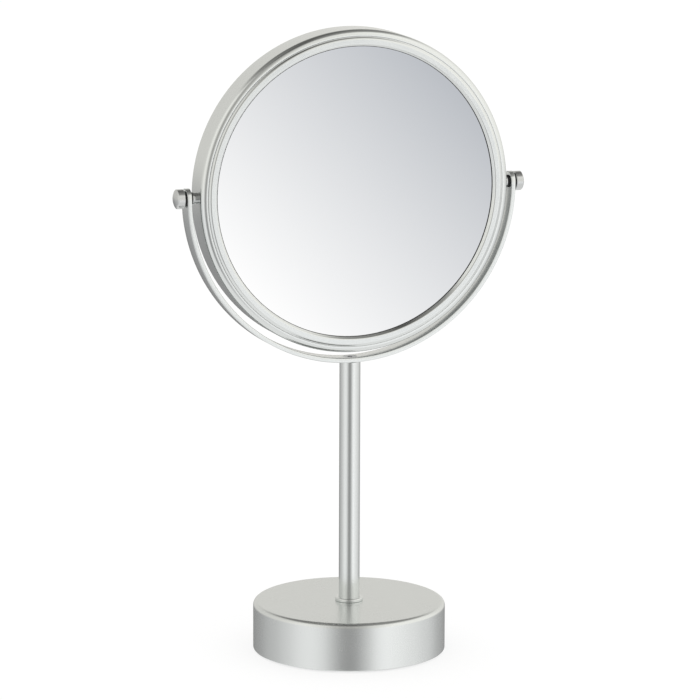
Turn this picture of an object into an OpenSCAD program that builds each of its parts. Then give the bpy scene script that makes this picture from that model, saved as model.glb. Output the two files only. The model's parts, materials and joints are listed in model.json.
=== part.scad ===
// Free-standing shaving mirror: a weighted round foot, a plain column, a half-ring
// yoke and a double-sided round head that turns over between two hand knobs.
// Millimetres, +Z up, the flat front glass faces -Y. The origin is the centre of
// the foot pad's underside, on the surface that the mirror stands on.

/* [Foot] */
// Outer diameter of the foot's cover
foot_d = 120; // [90:1:160]
// Height of the cover's top face above the table
foot_h = 30.9; // [26:0.1:45]
// Side wall of the cover
cover_wall = 1.6; // [1:0.1:2.5]
// Top wall of the cover
cover_top = 2; // [1.5:0.1:3]
// Radius of the cover's rounded upper edge
cover_edge_r = 3; // [2.6:0.1:4]
// How far the pad stands out below the cover's rim
pad_reveal = 0.8; // [0.5:0.1:1.5]
// Thickness of the foot pad
pad_t = 2; // [1.6:0.1:3]
// Thickness of the closing plate
plate_t = 1.5; // [1:0.1:2.5]
// Thickness of the ballast's slab
ballast_t = 12; // [8:0.5:14]
// Diameter of the ballast's three posts
post_d = 12; // [9:0.5:16]

/* [Column] */
// Outside diameter of the column
column_d = 13; // [10:0.1:18]
// Wall of the column tube
column_wall = 1.2; // [0.8:0.1:1.6]
// Height from the foot's top face to the underside of the yoke
column_l = 152.5; // [100:0.5:260]
// Height of the trim collar round the column's foot
collar_h = 2.3; // [1.8:0.1:5]
// Radial width of the trim collar
collar_w = 2.2; // [1.5:0.1:4]
// Length of the threaded plug in the tube's lower end
foot_plug_l = 26; // [20:1:40]
// Length of the threaded plug in the tube's upper end
head_plug_l = 18; // [12:1:30]

/* [Yoke] */
// Clear gap between the head's rim and the yoke
yoke_gap = 4.4; // [3.4:0.1:8]
// Thickness of the yoke's strip
yoke_t = 2.8; // [2.4:0.1:4]
// Width of the yoke's strip
yoke_w = 12.5; // [11:0.1:16]

/* [Head] */
// Outside diameter of the head
head_d = 200; // [150:1:240]
// Straight part of the rim's outer wall, front to back
rim_flat = 15.6; // [12.4:0.1:20]
// Radius of the rim's rounded edges
rim_edge_r = 3.5; // [2.5:0.1:4.5]
// Sheet thickness of the rim
rim_t = 1.5; // [1.2:0.1:2]
// How far a bezel stands proud of the rim's lip
bezel_proud = 1; // [0.6:0.1:2.5]
// Radial width of the bezel's flat crest
crest_w = 3.4; // [2:0.1:6]
// Depth of the bezel's crest above the glass
glass_recess = 2.5; // [2:0.1:3]

/* [Glass] */
// Thickness of both glasses
glass_t = 3; // [2.5:0.1:3.5]
// Radius of curvature of the magnifying glass
magnifier_r = 1000; // [900:10:2000]
// Thickness of the black gaskets
gasket_t = 0.4; // [0.3:0.1:0.8]
// Thickness of the foam pad behind the front glass
foam_t = 0.5; // [0.3:0.1:1]

/* [Pivots] */
// Diameter of the pivot studs
stud_d = 5; // [4:0.1:6]
// Diameter of the hand knobs
knob_d = 12; // [10:0.1:16]
// Length of a knob without its domed end
knob_l = 4.5; // [4:0.1:9]
// Height of a knob's domed end
knob_dome = 1.6; // [0.2:0.1:2.5]
// Diameter of the spacer's collar
spacer_d = 7.8; // [7.6:0.1:9]
// Thickness of the black washer under a knob
outer_washer_t = 1; // [0.6:0.1:1.5]
// Thickness of the black washer inside the yoke
inner_washer_t = 1.2; // [0.6:0.1:1.6]

/* [Hidden] */
$fn = 128;
large_circle_fn = 2880;                           // sides of a circle of large radius

// Fits
bore_clear = 0.05;      // radial room round a screw, stud or bolt in its bore
plug_clear = 0.02;      // radial room of a plug that is glued into the tube
face_clear = 0.05;      // gap at a face that slides, or that must not touch
drop_in = 0.15;         // radial room round a piece that drops into a shell
hole_clear = 0.4;       // radial room of a clearance hole
past = 1;               // how far a cutter runs past what it cuts
overlap = 0.01;         // how far two shapes of one piece run into each other

// Foot, from the table up
foot_r = foot_d / 2;
rim_foot_r = 0.8;                                 // radius at the cover's lower rim
cover_in_r = foot_r - cover_wall;
plate_r = cover_in_r - drop_in;
pad_inset = 2;                                    // the pad's edge inside the plate's
pad_r = plate_r - pad_inset;
plate_z = pad_t;
post_z = plate_z + plate_t;
ballast_top = foot_h - cover_top;
ballast_z = ballast_top - ballast_t;
ballast_room = 2.4;                               // between the casting and the cover
ballast_r = cover_in_r - ballast_room;
post_ring_r = ballast_r - post_d;
bolt_r = 3;                                       // M6 tie bolt
bolt_head_flats = 10;
bolt_head_h = 4;
bolt_washer_r = 9;
bolt_washer_t = 1.6;
spring_washer_r = 5.4;
spring_washer_t = 1.5;
pocket_room = 1;                                  // round the bolt's washer in its recess
pocket_r = bolt_washer_r + pocket_room;
pocket_h = 5;
bolt_seat_z = ballast_z + pocket_h;
screw_r = 2;                                      // M4 plate screws
screw_head_r = 3.6;
screw_head_h = 0.9;
screw_l = 9;

// Column
column_r = column_d / 2;
column_in_r = column_r - column_wall;
column_top = foot_h + column_l;
plug_r = column_in_r - plug_clear;
plug_spare_l = 4;                                 // thread of the plug past the bolt's end
bolt_reach = foot_plug_l - plug_spare_l;
yoke_screw_r = 2.5;                               // M5 countersunk screw
yoke_screw_head_r = 4.4;
yoke_screw_l = 16;
yoke_screw_sink = 0.1;                            // its top below the yoke's inner face
yoke_screw_top = column_top + yoke_t - yoke_screw_sink;

// Head, about its own centre
head_r = head_d / 2;
half_flat = rim_flat / 2;
lip_y = half_flat + rim_edge_r;                   // plane of the rim's rolled lips
rim_in_r = head_r - rim_t;
lip_w = 0.5;                                      // flat of the rolled lip
lip_r = head_r - rim_edge_r - lip_w;
bezel_r = lip_r - drop_in;
crest_y = lip_y + bezel_proud;
riser_w = 1.4;                                   // radial run of the bezel's outer slope
riser_foot_h = 0.1;                               // start of the slope above the rim's lip
crest_out_r = bezel_r - riser_w;
crest_in_r = crest_out_r - crest_w;
bevel_w = 1.1;                                    // radial run of the lip down to the glass
mouth_r = crest_in_r - bevel_w;
skirt_t = 1.4;
skirt_in_r = bezel_r - skirt_t;
glass_room = 0.4;                                 // round a glass in its skirt
glass_r = skirt_in_r - glass_room;
glass_y = crest_y - glass_recess;                 // face of a glass at its edge
bezel_seat_y = glass_y + gasket_t;
core_y = glass_y - glass_t - foam_t;              // half thickness of the core
core_room = 0.3;
core_r = rim_in_r - core_room;
core_hub_r = 14;
core_rib_t = 2;
core_ribs = 8;
core_ring_w = 12;
core_pocket_r = glass_r - core_ring_w;
core_floor_y = 1;                                 // floor of the pockets, towards the front
core_pocket_h = core_y - core_floor_y;
skirt_room = 0.2;                                 // between a bezel's skirt and the core
skirt_y = core_y + skirt_room;
gasket_lap = 0.3;                                 // gasket seen inside the lip
glue_gap = 0.2;
magnifier_depth = magnifier_r - sqrt(pow(magnifier_r, 2) - pow(glass_r, 2));
magnifier_y = glass_y - magnifier_depth + magnifier_r;   // centre of curvature

// Yoke and pivots, outwards from the head's rim
yoke_in_r = head_r + yoke_gap;
yoke_r = yoke_in_r + yoke_t;
pivot_z = column_top + yoke_r;
lug_r = yoke_w / 2;
lug_in_x = sqrt(pow(yoke_in_r, 2) - pow(lug_r, 2));      // flat inner face of the lugs
stud_r = stud_d / 2;
bush_r = 5;
bush_l = 9.8;
bush_neck_r = 3.5;
bush_x = sqrt(pow(rim_in_r, 2) - pow(bush_r, 2)) - face_clear;   // shoulder behind the rim
bush_end_x = sqrt(pow(head_r, 2) - pow(bush_neck_r, 2)) - face_clear;
bush_end_wall = 2;                                // closed end of the bush's bore
stud_end_room = 0.5;                              // past a stud's end in a blind bore
stud_x = bush_x - bush_l + bush_end_wall;
spacer_lip = 0.4;                                 // collar of the spacer beyond its neck
spacer_neck_r = spacer_d / 2 - spacer_lip;
spacer_collar_l = 1;
inner_washer_x = lug_in_x - face_clear - inner_washer_t;
spacer_step_x = inner_washer_x - spacer_collar_l;
outer_washer_x = yoke_r + face_clear;
groove_depth = 1.3;                               // black groove between a knob and the yoke
outer_washer_r = knob_d / 2 - groove_depth;
knob_x = outer_washer_x + outer_washer_t + face_clear;
knob_bevel = 0.35;
knob_end_wall = 1;
knob_bore_l = knob_l - knob_end_wall;
stud_end_x = knob_x + knob_bore_l - stud_end_room;

module ring(r, bore, h) {
    difference() {
        cylinder(r = r, h = h);
        translate([0, 0, -past]) cylinder(r = bore, h = h + 2 * past);
    }
}

// Puts a shape drawn along +Z about the origin on the head's axis, facing front or rear
module at_front() { translate([0, 0, pivot_z]) rotate([90, 0, 0]) children(); }
module at_rear() { translate([0, 0, pivot_z]) rotate([-90, 0, 0]) children(); }

// Puts a shape drawn along +Z on the pivot axis, pointing outwards at one side
module at_pivot(side, x) {
    translate([side * x, 0, pivot_z]) rotate([0, side * 90, 0]) children();
}

module steel() { color([0.72, 0.73, 0.74]) children(); }
module nickel() { color([0.80, 0.81, 0.79]) children(); }
module black() { color([0.06, 0.06, 0.06]) children(); }

// ---- Foot ----

module foot_pad() {
    black() cylinder(r = pad_r, h = pad_t);
}

module at_posts() {
    for (turn = [30 : 120 : 270])
        rotate([0, 0, turn]) translate([post_ring_r, 0, 0]) children();
}

module base_plate() {
    steel() difference() {
        translate([0, 0, plate_z]) cylinder(r = plate_r, h = plate_t);
        at_posts() {
            translate([0, 0, plate_z - past])
                cylinder(r = screw_r + hole_clear, h = plate_t + 2 * past);
            translate([0, 0, plate_z - past])
                cylinder(r = screw_head_r + drop_in, h = screw_head_h + past);
        }
    }
}

module plate_screws() {
    steel() at_posts() {
        translate([0, 0, plate_z]) cylinder(r = screw_head_r, h = screw_head_h);
        translate([0, 0, plate_z]) cylinder(r = screw_r, h = screw_l);
    }
}

module base_ballast() {
    color([0.25, 0.25, 0.26]) difference() {
        union() {
            translate([0, 0, ballast_z]) cylinder(r = ballast_r, h = ballast_t);
            at_posts() translate([0, 0, post_z])
                cylinder(d = post_d, h = ballast_z - post_z + past);
        }
        translate([0, 0, ballast_z - past]) cylinder(r = pocket_r, h = pocket_h + past);
        cylinder(r = bolt_r + hole_clear, h = foot_h);
        at_posts() translate([0, 0, post_z - past])
            cylinder(r = screw_r + bore_clear, h = screw_l + past);
    }
}

module base_cover() {
    nickel() difference() {
        translate([0, 0, pad_reveal]) rotate_extrude() cover_outline(foot_h - pad_reveal);
        translate([0, 0, pad_reveal - past])
            cylinder(r = cover_in_r, h = ballast_top - pad_reveal + past);
        cylinder(r = bolt_r + hole_clear, h = foot_h + past);
    }
}

// Half section of the cover's outside, with its rounded edges
module cover_outline(h) {
    square([foot_r - cover_edge_r, h]);
    square([foot_r - rim_foot_r, h - cover_edge_r]);
    translate([0, rim_foot_r]) square([foot_r, h - cover_edge_r - rim_foot_r]);
    intersection() {
        translate([foot_r - cover_edge_r, h - cover_edge_r]) circle(r = cover_edge_r);
        square([foot_r, h]);
    }
    translate([foot_r - rim_foot_r, rim_foot_r]) circle(r = rim_foot_r);
}

module tie_bolt() {
    head_z = bolt_seat_z - bolt_washer_t - spring_washer_t - bolt_head_h;
    steel() {
        translate([0, 0, head_z])
            cylinder(d = bolt_head_flats / cos(30), h = bolt_head_h, $fn = 6);
        translate([0, 0, head_z]) cylinder(r = bolt_r, h = foot_h + bolt_reach - head_z);
    }
}

module tie_bolt_washer() {
    steel() translate([0, 0, bolt_seat_z - bolt_washer_t])
        ring(bolt_washer_r, bolt_r + bore_clear, bolt_washer_t);
}

module tie_bolt_spring_washer() {
    split_w = 1.2;
    z = bolt_seat_z - bolt_washer_t - spring_washer_t;
    steel() difference() {
        translate([0, 0, z]) ring(spring_washer_r, bolt_r + bore_clear, spring_washer_t);
        translate([0, -split_w / 2, z - past])
            cube([spring_washer_r + past, split_w, spring_washer_t + 2 * past]);
    }
}

// ---- Column ----

module column_collar() {
    crown_r = 0.8;
    collar_in_r = column_r + bore_clear;
    collar_r = column_r + collar_w;
    nickel() translate([0, 0, foot_h]) rotate_extrude() {
        translate([collar_in_r, 0]) square([collar_r - collar_in_r, collar_h - crown_r]);
        translate([collar_in_r, 0]) square([collar_r - crown_r - collar_in_r, collar_h]);
        translate([collar_r - crown_r, collar_h - crown_r]) circle(r = crown_r);
    }
}

module column_tube() {
    nickel() difference() {
        translate([0, 0, foot_h]) cylinder(r = column_r, h = column_l + yoke_t);
        translate([0, 0, foot_h - past])
            cylinder(r = column_in_r, h = column_l + yoke_t + 2 * past);
        yoke_cylinder(yoke_r);
    }
}

// The round space that the yoke bends round
module yoke_cylinder(r) {
    translate([0, yoke_w, pivot_z]) rotate([90, 0, 0]) cylinder(r = r, h = 2 * yoke_w);
}

module column_foot_plug() {
    steel() translate([0, 0, foot_h]) ring(plug_r, bolt_r + bore_clear, foot_plug_l);
}

module column_head_plug() {
    steel() difference() {
        translate([0, 0, column_top - head_plug_l])
            cylinder(r = plug_r, h = head_plug_l + yoke_t);
        translate([0, 0, column_top - head_plug_l - past])
            cylinder(r = yoke_screw_r + bore_clear, h = head_plug_l + yoke_t + 2 * past);
        yoke_cylinder(yoke_r);
    }
}

// ---- Yoke ----

module yoke() {
    lug_bore_r = stud_r + bore_clear;
    nickel() difference() {
        union() {
            at_front() translate([0, 0, -yoke_w / 2]) rotate([0, 0, 180])
                rotate_extrude(angle = 180) translate([yoke_in_r, 0]) square([yoke_t, yoke_w]);
            for (side = [-1, 1])
                at_pivot(side, lug_in_x) cylinder(r = lug_r, h = yoke_r - lug_in_x);
        }
        for (side = [-1, 1])
            at_pivot(side, lug_in_x - past)
                cylinder(r = lug_bore_r, h = yoke_r - lug_in_x + 2 * past);
        translate([0, 0, column_top - past])
            cylinder(r = yoke_screw_r + bore_clear, h = yoke_t + 2 * past);
        yoke_screw_cone(bore_clear);
    }
}

// The countersunk head, or its seat when it is given some room
module yoke_screw_cone(room) {
    head_h = yoke_screw_head_r - yoke_screw_r;
    translate([0, 0, yoke_screw_top - head_h])
        cylinder(r1 = yoke_screw_r + room, r2 = yoke_screw_head_r + room, h = head_h);
    if (room > 0)
        translate([0, 0, yoke_screw_top]) cylinder(r = yoke_screw_head_r + room, h = past);
}

module yoke_screw() {
    socket_flats = 3;
    socket_h = 1.4;
    steel() difference() {
        union() {
            yoke_screw_cone(0);
            translate([0, 0, yoke_screw_top - yoke_screw_l])
                cylinder(r = yoke_screw_r, h = yoke_screw_l - socket_h);
        }
        translate([0, 0, yoke_screw_top - socket_h])
            cylinder(d = socket_flats / cos(30), h = socket_h + past, $fn = 6);
    }
}

// ---- Head ----

// Half section of the rim: a wall with both edges rolled inwards to a lip
module rim_section() {
    corner_r = head_r - rim_edge_r;
    translate([rim_in_r, -half_flat]) square([rim_t, rim_flat]);
    for (side = [0, 1]) mirror([0, side]) {
        intersection() {
            translate([corner_r, half_flat]) difference() {
                circle(r = rim_edge_r);
                circle(r = rim_edge_r - rim_t);
            }
            translate([corner_r, half_flat]) square(rim_edge_r + past);
        }
        translate([lip_r, lip_y - rim_t]) square([corner_r - lip_r, rim_t]);
    }
}

module head_rim() {
    nickel() difference() {
        at_front() rotate_extrude() rim_section();
        for (side = [-1, 1])
            at_pivot(side, rim_in_r - past)
                cylinder(r = bush_neck_r + bore_clear, h = rim_t + 2 * past);
    }
}

// The magnifier's ball of air, grown by some distance, in a half section
module magnifier_circle(extra) {
    translate([0, magnifier_y]) circle(r = magnifier_r + extra, $fn = large_circle_fn);
}

module head_core() {
    color([0.30, 0.31, 0.32]) difference() {
        at_rear() rotate_extrude() difference() {
            translate([0, -core_y]) square([core_r, 2 * core_y]);
            magnifier_circle(glass_t + glue_gap);
        }
        at_front() translate([0, 0, core_y - core_pocket_h]) core_pockets();
        for (side = [-1, 1]) at_pivot(side, bush_x - bush_l - drop_in)
            cylinder(r = bush_r + drop_in, h = bush_l + bush_r);
    }
}

// Pockets between the hub, the ribs and the outer ring of the core
module core_pockets() {
    difference() {
        cylinder(r = core_pocket_r, h = core_pocket_h + past);
        translate([0, 0, -past]) cylinder(r = core_hub_r, h = core_pocket_h + 3 * past);
        for (rib = [0 : core_ribs - 1]) rotate([0, 0, rib * 360 / core_ribs])
            translate([0, -core_rib_t / 2, -past])
                cube([core_pocket_r + past, core_rib_t, core_pocket_h + 3 * past]);
    }
}

module foam_pad() {
    foam_inset = 6;
    black() at_front() translate([0, 0, core_y]) cylinder(r = glass_r - foam_inset, h = foam_t);
}

module front_glass() {
    color([0.82, 0.85, 0.88]) at_front() translate([0, 0, glass_y - glass_t])
        cylinder(r = glass_r, h = glass_t);
}

module rear_glass() {
    color([0.82, 0.85, 0.88]) at_rear() rotate_extrude() difference() {
        intersection() {
            square([glass_r, glass_y]);
            magnifier_circle(glass_t);
        }
        magnifier_circle(0);
    }
}

module gasket() {
    translate([0, 0, glass_y]) ring(glass_r, mouth_r - gasket_lap, gasket_t);
}

module front_gasket() { black() at_front() gasket(); }
module rear_gasket() { black() at_rear() gasket(); }

// Half section of a bezel: skirt, sloped riser, flat crest and a bevelled lip
module bezel_section() {
    lip_land = 0.2;
    polygon([[skirt_in_r, skirt_y], [bezel_r, skirt_y], [bezel_r, lip_y + riser_foot_h],
             [crest_out_r, crest_y], [crest_in_r, crest_y],
             [mouth_r, bezel_seat_y + lip_land], [mouth_r, bezel_seat_y],
             [skirt_in_r, bezel_seat_y]]);
}

module bezel() { rotate_extrude() bezel_section(); }
module front_bezel() { nickel() at_front() bezel(); }
module rear_bezel() { nickel() at_rear() bezel(); }

// ---- Pivots ----

module pivot_bush(side) {
    steel() difference() {
        union() {
            at_pivot(side, bush_x - bush_l) cylinder(r = bush_r, h = bush_l);
            at_pivot(side, bush_x - past) cylinder(r = bush_neck_r, h = bush_end_x - bush_x + past);
        }
        at_pivot(side, stud_x - stud_end_room)
            cylinder(r = stud_r + bore_clear, h = bush_l + bush_end_wall);
    }
}

module pivot_stud(side) {
    steel() at_pivot(side, stud_x) cylinder(r = stud_r, h = stud_end_x - stud_x);
}

module spacer(side) {
    nickel() difference() {
        union() {
            at_pivot(side, head_r) cylinder(r = spacer_neck_r, h = inner_washer_x - head_r);
            at_pivot(side, spacer_step_x) cylinder(d = spacer_d, h = spacer_collar_l);
        }
        at_pivot(side, head_r - past) cylinder(r = stud_r + bore_clear, h = yoke_gap + 2 * past);
    }
}

module inner_washer(side) {
    black() at_pivot(side, inner_washer_x)
        ring(spacer_d / 2, stud_r + bore_clear, inner_washer_t);
}

module outer_washer(side) {
    black() at_pivot(side, outer_washer_x)
        ring(outer_washer_r, stud_r + bore_clear, outer_washer_t);
}

// Half section of a knob: a short drum with a bevelled edge and a low dome
module knob_section() {
    face_r = knob_d / 2 - knob_bevel;
    dome_r = (pow(face_r, 2) + pow(knob_dome, 2)) / (2 * knob_dome);
    polygon([[0, 0], [face_r, 0], [knob_d / 2, knob_bevel], [knob_d / 2, knob_l - knob_bevel],
             [face_r, knob_l], [0, knob_l]]);
    intersection() {
        translate([0, knob_l + knob_dome - dome_r]) circle(r = dome_r, $fn = large_circle_fn);
        translate([0, knob_l - overlap]) square([face_r, knob_dome + 2 * overlap]);
    }
}

module knob(side) {
    nickel() at_pivot(side, knob_x) difference() {
        rotate_extrude() knob_section();
        translate([0, 0, -past]) cylinder(r = stud_r + bore_clear, h = knob_bore_l + past);
    }
}

foot_pad();
base_plate();
plate_screws();
base_ballast();
base_cover();
tie_bolt();
tie_bolt_washer();
tie_bolt_spring_washer();
column_collar();
column_tube();
column_foot_plug();
column_head_plug();
yoke();
yoke_screw();
head_rim();
head_core();
foam_pad();
front_glass();
rear_glass();
front_gasket();
rear_gasket();
front_bezel();
rear_bezel();
pivot_bush(-1);  // left_pivot_bush
pivot_bush(1);  // right_pivot_bush
pivot_stud(-1);  // left_pivot_stud
pivot_stud(1);  // right_pivot_stud
spacer(-1);  // left_spacer
spacer(1);  // right_spacer
inner_washer(-1);  // left_inner_washer
inner_washer(1);  // right_inner_washer
outer_washer(-1);  // left_outer_washer
outer_washer(1);  // right_outer_washer
knob(-1);  // left_knob
knob(1);  // right_knob
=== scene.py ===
"""Looks of a free-standing round shaving mirror: turned and bent metal, two glasses and their stage."""

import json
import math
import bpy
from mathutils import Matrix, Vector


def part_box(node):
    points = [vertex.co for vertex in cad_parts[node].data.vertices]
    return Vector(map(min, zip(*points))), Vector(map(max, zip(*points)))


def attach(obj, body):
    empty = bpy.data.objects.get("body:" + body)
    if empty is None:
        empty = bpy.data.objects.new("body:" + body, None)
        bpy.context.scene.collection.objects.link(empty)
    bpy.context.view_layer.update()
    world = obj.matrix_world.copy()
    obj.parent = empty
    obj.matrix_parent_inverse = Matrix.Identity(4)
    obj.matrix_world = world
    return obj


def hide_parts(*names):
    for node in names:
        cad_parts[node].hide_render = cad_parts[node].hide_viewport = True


bl_info = {
    "name": "Round shaving mirror",
    "version": (1, 0, 0),
    "blender": (4, 5, 0),
    "location": "3D View > Sidebar > Mirror",
    "description": "Builds the finished surfaces of a pedestal shaving mirror round its working frame",
    "category": "Object",
}

import bpy
from bpy.props import FloatProperty, FloatVectorProperty, IntProperty, PointerProperty
from mathutils import Matrix, Vector

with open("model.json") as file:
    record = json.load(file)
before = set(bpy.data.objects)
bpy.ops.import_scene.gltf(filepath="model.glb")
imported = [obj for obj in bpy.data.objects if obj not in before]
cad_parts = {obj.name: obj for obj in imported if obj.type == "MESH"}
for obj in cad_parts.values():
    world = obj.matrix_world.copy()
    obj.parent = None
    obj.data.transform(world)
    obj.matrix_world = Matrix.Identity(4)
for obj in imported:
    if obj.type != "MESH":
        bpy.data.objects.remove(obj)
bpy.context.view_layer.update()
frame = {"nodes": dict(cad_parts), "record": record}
MM = 0.001


def reach(node, axis):
    """How far a frame node reaches along +X, +Y or +Z, in metres."""
    return round(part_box(node)[1]["XYZ".index(axis)], 6)


def start(node, axis):
    """Where a frame node starts along X, Y or Z, in metres."""
    return round(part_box(node)[0]["XYZ".index(axis)], 6)


# Places taken from the frame
HEAD_R = reach("head_rim", "X")
PIVOT_Z = round((reach("head_rim", "Z") + start("head_rim", "Z")) / 2, 6)
LIP_Y = reach("head_rim", "Y")
BEZEL_R = reach("front_bezel", "X")
CREST_Y = -start("front_bezel", "Y")
SKIRT_Y = -reach("front_bezel", "Y")
GLASS_R = reach("rear_glass", "X")
GLASS_Y = reach("rear_glass", "Y")
YOKE_R = round(PIVOT_Z - start("yoke", "Z"), 6)
YOKE_W = round(2 * reach("yoke", "Y"), 6)
FOOT_R = reach("base_cover", "X")
FOOT_TOP = reach("base_cover", "Z")
FOOT_RIM_Z = start("base_cover", "Z")
COLUMN_R = reach("column_tube", "X")
HEAD_CENTRE = Vector((0, 0, PIVOT_Z))

# Wall thicknesses and bores that a box cannot tell, as in the working drawing
RIM_WALL = 1.5 * MM
RIM_EDGE_R = 3.5 * MM
RIM_LIP_W = 0.5 * MM
BEZEL_SKIRT = 1.4 * MM
CREST_OUT_R = BEZEL_R - 1.4 * MM
CREST_IN_R = CREST_OUT_R - 3.4 * MM
RISER_FOOT_W = 0.25 * MM
RISER_FOOT_H = 0.1 * MM
MOUTH_R = CREST_IN_R - 1.1 * MM
SEAT_Y = GLASS_Y + 0.4 * MM
MAGNIFIER_R = 1000 * MM
GLASS_T = 3 * MM
YOKE_T = 2.8 * MM
COVER_WALL = 1.6 * MM
COVER_TOP = 2 * MM
BOLT_HOLE_R = 3.4 * MM
TUBE_WALL = 1.2 * MM
STUD_HOLE_R = 2.55 * MM
SPACER_LIP = 0.4 * MM
SPACER_COLLAR = 1 * MM
KNOB_BEVEL = 0.35 * MM
KNOB_DOME = 1.6 * MM
KNOB_END_WALL = 1 * MM
SCREW_SHANK_R = 2.5 * MM
SOCKET_R = 1.73 * MM
SOCKET_DEPTH = 1.4 * MM
ROOM = 0.05 * MM
TOUCH = 1e-6

# Where the viewer stands, from the head's centre: the turn from -Y towards +X, and the rise
VIEWER_TURN = math.radians(-20.5)
VIEWER_LIFT = math.radians(9.1)

FACING = {
    "front": (math.pi / 2, 0, 0),
    "rear": (-math.pi / 2, 0, 0),
    "left": (0, -math.pi / 2, 0),
    "right": (0, math.pi / 2, 0),
}
SIDES = (("left", -1), ("right", 1))


# ---- What a user can change ----


class SoftEdges(bpy.types.PropertyGroup):
    """How far the metal's edges are broken."""

    cover_edge: FloatProperty(
        name="Cover edge", description="Radius of the foot cover's upper edge",
        default=3 * MM, min=0, unit="LENGTH")
    cover_foot: FloatProperty(
        name="Cover foot", description="Radius of the foot cover's lower edge",
        default=0.8 * MM, min=0, unit="LENGTH")
    crest_outer: FloatProperty(
        name="Bezel outer edge", description="Radius of the bezel crest's outer edge",
        default=1.5 * MM, min=0, unit="LENGTH")
    riser_foot: FloatProperty(
        name="Bezel foot", description="Radius of the hollow at the foot of the bezel's outer slope",
        default=0.5 * MM, min=0, unit="LENGTH")
    lip: FloatProperty(
        name="Lip edge", description="Radius of the inner edges of the rim's lips",
        default=0.12 * MM, min=0, unit="LENGTH")
    crest_inner: FloatProperty(
        name="Bezel inner edge", description="Radius of the bezel crest's inner edge",
        default=1.0 * MM, min=0, unit="LENGTH")
    strip: FloatProperty(
        name="Yoke strip", description="Radius of the four long edges of the yoke's strip",
        default=0.4 * MM, min=0, unit="LENGTH")
    small: FloatProperty(
        name="Small turned parts", description="Edge radius of the spacers and the collar",
        default=0.12 * MM, min=0, unit="LENGTH")


class Smoothness(bpy.types.PropertyGroup):
    """How finely the round shapes are divided."""

    large_sides: IntProperty(
        name="Large rings", description="Sides of the head's and the foot's rings", default=288, min=32)
    small_sides: IntProperty(
        name="Small rings", description="Sides of the column's and the knobs' rings", default=96, min=16)
    corner_steps: IntProperty(
        name="Corner steps", description="Facets across a rounded corner", default=5, min=1)


class Finishes(bpy.types.PropertyGroup):
    """Colours and roughness of the finishes."""

    nickel: FloatVectorProperty(
        name="Satin nickel", description="Colour of the satin nickel plate", subtype="COLOR",
        size=4, default=(0.73, 0.75, 0.745, 1), min=0, max=1)
    nickel_roughness: FloatProperty(
        name="Head roughness", description="Roughness of the nickel plate on the head, yoke and column",
        subtype="FACTOR", default=0.17, min=0, max=1)
    cover_roughness: FloatProperty(
        name="Cover roughness", description="Roughness of the nickel plate on the foot's cover",
        subtype="FACTOR", default=0.26, min=0, max=1)
    turned: FloatVectorProperty(
        name="Turned nickel", description="Colour of the turned knobs and spacers", subtype="COLOR",
        size=4, default=(0.60, 0.61, 0.61, 1), min=0, max=1)
    mirror: FloatVectorProperty(
        name="Silvering", description="Colour of the silvered glass", subtype="COLOR",
        size=4, default=(0.90, 0.90, 0.90, 1), min=0, max=1)
    zinc: FloatVectorProperty(
        name="Zinc plate", description="Colour of the zinc-plated fixings", subtype="COLOR",
        size=4, default=(0.62, 0.63, 0.65, 1), min=0, max=1)
    iron: FloatVectorProperty(
        name="Ballast paint", description="Colour of the painted iron ballast", subtype="COLOR",
        size=4, default=(0.05, 0.05, 0.055, 1), min=0, max=1)
    plastic: FloatVectorProperty(
        name="Core plastic", description="Colour of the moulded core", subtype="COLOR",
        size=4, default=(0.05, 0.05, 0.055, 1), min=0, max=1)
    nylon: FloatVectorProperty(
        name="Black nylon", description="Colour of the washers and gaskets", subtype="COLOR",
        size=4, default=(0.018, 0.018, 0.018, 1), min=0, max=1)
    rubber: FloatVectorProperty(
        name="Foam rubber", description="Colour of the foot pad", subtype="COLOR",
        size=4, default=(0.03, 0.03, 0.03, 1), min=0, max=1)


class StudioLight(bpy.types.PropertyGroup):
    """The stage's camera and light."""

    camera_place: FloatVectorProperty(
        name="Camera", description="Where the camera stands", subtype="TRANSLATION", unit="LENGTH",
        size=3, default=(-0.9028, -2.4094, 0.7053))
    camera_target: FloatVectorProperty(
        name="Target", description="What the camera looks at", subtype="TRANSLATION", unit="LENGTH",
        size=3, default=(0, 0, 0.1902))
    camera_roll: FloatProperty(
        name="Roll", description="How far the camera leans about its own axis", subtype="ANGLE",
        default=math.radians(0.22))
    lens: FloatProperty(
        name="Lens", description="Focal length of the camera in millimetres", default=218.2, min=1)
    lamp_glow: FloatProperty(
        name="Light", description="Strength of the soft light all round", default=1.08, min=0)
    paper_glow: FloatProperty(
        name="Backdrop", description="Brightness of the backdrop", default=1.0, min=0)


# ---- Modelling ----


def pick_nothing():
    """Leaves edit mode and deselects everything."""
    if bpy.context.mode != "OBJECT":
        bpy.ops.object.mode_set(mode="OBJECT")
    bpy.ops.object.select_all(action="DESELECT")


def pick(piece):
    """Makes one piece the only selected and active one."""
    pick_nothing()
    piece.select_set(True)
    bpy.context.view_layer.objects.active = piece


def settle(piece, facing=None, place=(0, 0, 0)):
    """Turns and moves a piece, and leaves its place in its mesh."""
    pick(piece)
    piece.rotation_euler = FACING[facing] if facing else (0, 0, 0)
    piece.location = place
    bpy.ops.object.transform_apply(location=True, rotation=True, scale=True)


def smooth(piece, sharp_from=40):
    """Shades a piece smooth up to the given angle between faces, in degrees."""
    pick(piece)
    bpy.ops.object.shade_smooth_by_angle(angle=math.radians(sharp_from))


def tidy_shell(piece):
    """Merges doubles and points all faces outwards."""
    pick(piece)
    bpy.ops.object.mode_set(mode="EDIT")
    bpy.ops.mesh.select_all(action="SELECT")
    bpy.ops.mesh.remove_doubles(threshold=1e-7)
    bpy.ops.mesh.normals_make_consistent(inside=False)
    bpy.ops.object.mode_set(mode="OBJECT")


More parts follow.
